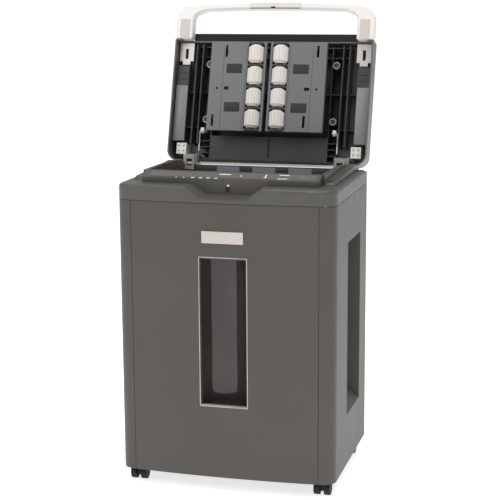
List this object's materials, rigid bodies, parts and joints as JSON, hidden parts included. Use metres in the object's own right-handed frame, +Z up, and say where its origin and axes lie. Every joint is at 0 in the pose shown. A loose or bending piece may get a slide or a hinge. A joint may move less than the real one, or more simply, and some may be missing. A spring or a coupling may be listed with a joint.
{
  "type": "paper shredder",
  "caption": "Auto-feed paper shredder on swivel casters: pull-out bin with window, paper tray under an open lid with sprung roller plates, white loop handle.",
  "frame": {"origin": "centre of the cabinet's plan on the floor", "axes": "+Z up, -Y out of the front door, +X to the right as seen from the front"},
  "size_m": [0.4, 0.4124, 0.8708],
  "materials": {
    "cabinet_plastic": "fine-grained warm dark grey moulding",
    "housing_plastic": "fine-grained dark grey moulding",
    "frame_plastic": "near-black moulding",
    "plate_plastic": "mid-grey moulding",
    "white_plastic": "off-white moulding",
    "bright_steel": "zinc-plated sheet",
    "cutter_steel": "ground steel",
    "motor_metal": "satin black can",
    "clear_plastic": "clear smoked plastic",
    "badge_metal": "satin blank plate",
    "overlay_film": "printed membrane",
    "key_film": "flat membrane keys",
    "lens": "milky lens",
    "strip_film": "pale reflective guide strip",
    "black_plastic": "black moulding",
    "wheel_plastic": "black wheel moulding",
    "feed_rubber": "grey-black feed sleeves"
  },
  "bodies": {
    "cabinet": {"side_panel_left": "cabinet_plastic", "side_panel_right": "cabinet_plastic", "rear_panel": "cabinet_plastic", "base_pan": "cabinet_plastic", "top_housing": "housing_plastic", "tray_deck": "housing_plastic", "status_lens": "lens", "control_overlay": "overlay_film", "tray_guide_strip": "strip_film", "hinge_bracket_left": "bright_steel", "hinge_bracket_right": "bright_steel", "motor": "motor_metal", "cutter_plate_front": "bright_steel", "cutter_plate_rear": "bright_steel", "power_inlet": "black_plastic"},
    "bin": {"bin_front_panel": "cabinet_plastic", "bin_tray": "frame_plastic", "window_pane": "clear_plastic", "badge_plate": "badge_metal"},
    "lid": {"lid_shell": "housing_plastic", "lid_ribs": "frame_plastic", "lid_front_rail": "frame_plastic", "handle": "white_plastic", "handle_grip": "white_plastic", "handle_strip_left": "bright_steel", "handle_strip_right": "bright_steel", "handle_bracket_left": "bright_steel", "handle_bracket_right": "bright_steel", "pulley_left": "white_plastic", "pulley_right": "white_plastic", "bumper_block_left": "white_plastic", "bumper_block_right": "white_plastic"},
    "plate_left": {"pressure_plate_left": "plate_plastic"},
    "plate_right": {"pressure_plate_right": "plate_plastic"},
    "cutter_left": {"cutter_left": "cutter_steel"},
    "cutter_right": {"cutter_right": "cutter_steel"},
    "motor_pinion": {"motor_pinion": "cutter_steel"},
    "feed_left": {"feed_roller_left": "feed_rubber"},
    "feed_right": {"feed_roller_right": "feed_rubber"},
    "key_power": {"key_power": "key_film"},
    "key_forward": {"key_forward": "key_film"},
    "key_reverse": {"key_reverse": "key_film"},
    "mains_rocker": {"mains_rocker": "black_plastic"},
    "idler_left_1": {"idler_left_1": "white_plastic"},
    "idler_left_2": {"idler_left_2": "white_plastic"},
    "idler_left_3": {"idler_left_3": "white_plastic"},
    "idler_left_4": {"idler_left_4": "white_plastic"},
    "idler_right_1": {"idler_right_1": "white_plastic"},
    "idler_right_2": {"idler_right_2": "white_plastic"},
    "idler_right_3": {"idler_right_3": "white_plastic"},
    "idler_right_4": {"idler_right_4": "white_plastic"},
    "fork_front_left": {"caster_fork_front_left": "black_plastic"},
    "wheels_front_left": {"caster_wheels_front_left": "wheel_plastic"},
    "fork_front_right": {"caster_fork_front_right": "black_plastic"},
    "wheels_front_right": {"caster_wheels_front_right": "wheel_plastic"},
    "fork_rear_left": {"caster_fork_rear_left": "black_plastic"},
    "wheels_rear_left": {"caster_wheels_rear_left": "wheel_plastic"},
    "fork_rear_right": {"caster_fork_rear_right": "black_plastic"},
    "wheels_rear_right": {"caster_wheels_rear_right": "wheel_plastic"}
  },
  "joints": [
    {"name": "lid_hinge", "type": "hinge", "parent": "cabinet", "child": "lid", "pos_m": [0, 0.1443, 0.5693], "axis": [1, 0, 0], "range_deg": [0, 106.8]},
    {"name": "bin_slide", "type": "slide", "parent": "cabinet", "child": "bin", "axis": [0, -1, 0], "range_m": [0, 0.26]},
    {"name": "plate_left_press", "type": "slide", "parent": "lid", "child": "plate_left", "axis": [0, 0.9573, -0.289], "range_m": [0, 0.028], "stiffness_N_per_m": 250, "springref_m": -0.02},
    {"name": "idler_left_1_spin", "type": "hinge", "parent": "plate_left", "child": "idler_left_1", "pos_m": [-0.0245, 0.13351, 0.6486], "axis": [0, 0.289, 0.9573], "continuous": true},
    {"name": "idler_left_2_spin", "type": "hinge", "parent": "plate_left", "child": "idler_left_2", "pos_m": [-0.0245, 0.14579, 0.68929], "axis": [0, 0.289, 0.9573], "continuous": true},
    {"name": "idler_left_3_spin", "type": "hinge", "parent": "plate_left", "child": "idler_left_3", "pos_m": [-0.0245, 0.15808, 0.72998], "axis": [0, 0.289, 0.9573], "continuous": true},
    {"name": "idler_left_4_spin", "type": "hinge", "parent": "plate_left", "child": "idler_left_4", "pos_m": [-0.0245, 0.17036, 0.77066], "axis": [0, 0.289, 0.9573], "continuous": true},
    {"name": "plate_right_press", "type": "slide", "parent": "lid", "child": "plate_right", "axis": [0, 0.9573, -0.289], "range_m": [0, 0.028], "stiffness_N_per_m": 250, "springref_m": -0.02},
    {"name": "idler_right_1_spin", "type": "hinge", "parent": "plate_right", "child": "idler_right_1", "pos_m": [0.0245, 0.13351, 0.6486], "axis": [0, 0.289, 0.9573], "continuous": true},
    {"name": "idler_right_2_spin", "type": "hinge", "parent": "plate_right", "child": "idler_right_2", "pos_m": [0.0245, 0.14579, 0.68929], "axis": [0, 0.289, 0.9573], "continuous": true},
    {"name": "idler_right_3_spin", "type": "hinge", "parent": "plate_right", "child": "idler_right_3", "pos_m": [0.0245, 0.15808, 0.72998], "axis": [0, 0.289, 0.9573], "continuous": true},
    {"name": "idler_right_4_spin", "type": "hinge", "parent": "plate_right", "child": "idler_right_4", "pos_m": [0.0245, 0.17036, 0.77066], "axis": [0, 0.289, 0.9573], "continuous": true},
    {"name": "cutter_right_spin", "type": "hinge", "parent": "cabinet", "child": "cutter_right", "pos_m": [0.015, 0, 0.462], "axis": [0, 1, 0], "continuous": true},
    {"name": "cutter_left_spin", "type": "hinge", "parent": "cabinet", "child": "cutter_left", "pos_m": [-0.015, 0, 0.462], "axis": [0, 1, 0], "continuous": true},
    {"name": "motor_spin", "type": "hinge", "parent": "cabinet", "child": "motor_pinion", "pos_m": [0.067, 0, 0.462], "axis": [0, 1, 0], "continuous": true},
    {"name": "feed_left_spin", "type": "hinge", "parent": "cabinet", "child": "feed_left", "pos_m": [-0.025, 0, 0.506], "axis": [0, 1, 0], "continuous": true},
    {"name": "feed_right_spin", "type": "hinge", "parent": "cabinet", "child": "feed_right", "pos_m": [0.025, 0, 0.506], "axis": [0, 1, 0], "continuous": true},
    {"name": "key_power_press", "type": "slide", "parent": "cabinet", "child": "key_power", "axis": [0, 0.2813, -0.9596], "range_m": [0, 0.0005], "stiffness_N_per_m": 1500, "springref_m": -0.0005},
    {"name": "key_forward_press", "type": "slide", "parent": "cabinet", "child": "key_forward", "axis": [0, 0.2813, -0.9596], "range_m": [0, 0.0005], "stiffness_N_per_m": 1500, "springref_m": -0.0005},
    {"name": "key_reverse_press", "type": "slide", "parent": "cabinet", "child": "key_reverse", "axis": [0, 0.2813, -0.9596], "range_m": [0, 0.0005], "stiffness_N_per_m": 1500, "springref_m": -0.0005},
    {"name": "mains_rocker_tilt", "type": "hinge", "parent": "cabinet", "child": "mains_rocker", "pos_m": [-0.12, 0.1505, 0.0995], "axis": [1, 0, 0], "range_deg": [-8, 8]},
    {"name": "swivel_front_left", "type": "hinge", "parent": "cabinet", "child": "fork_front_left", "pos_m": [-0.174, -0.119, 0.04], "axis": [0, 0, 1], "continuous": true},
    {"name": "roll_front_left", "type": "hinge", "parent": "fork_front_left", "child": "wheels_front_left", "pos_m": [-0.174, -0.125, 0.0133], "axis": [1, 0, 0], "continuous": true},
    {"name": "swivel_front_right", "type": "hinge", "parent": "cabinet", "child": "fork_front_right", "pos_m": [0.174, -0.119, 0.04], "axis": [0, 0, 1], "continuous": true},
    {"name": "roll_front_right", "type": "hinge", "parent": "fork_front_right", "child": "wheels_front_right", "pos_m": [0.174, -0.125, 0.0133], "axis": [1, 0, 0], "continuous": true},
    {"name": "swivel_rear_left", "type": "hinge", "parent": "cabinet", "child": "fork_rear_left", "pos_m": [-0.174, 0.114, 0.04], "axis": [0, 0, 1], "continuous": true},
    {"name": "roll_rear_left", "type": "hinge", "parent": "fork_rear_left", "child": "wheels_rear_left", "pos_m": [-0.174, 0.108, 0.0133], "axis": [1, 0, 0], "continuous": true},
    {"name": "swivel_rear_right", "type": "hinge", "parent": "cabinet", "child": "fork_rear_right", "pos_m": [0.174, 0.114, 0.04], "axis": [0, 0, 1], "continuous": true},
    {"name": "roll_rear_right", "type": "hinge", "parent": "fork_rear_right", "child": "wheels_rear_right", "pos_m": [0.174, 0.108, 0.0133], "axis": [1, 0, 0], "continuous": true}
  ],
  "couplings": [
    {"joint": "cutter_left_spin", "follows": "cutter_right_spin", "ratio": -1},
    {"joint": "motor_spin", "follows": "cutter_right_spin", "ratio": -3.3333},
    {"joint": "feed_right_spin", "follows": "cutter_right_spin", "ratio": 1},
    {"joint": "feed_left_spin", "follows": "cutter_right_spin", "ratio": -1}
  ]
}
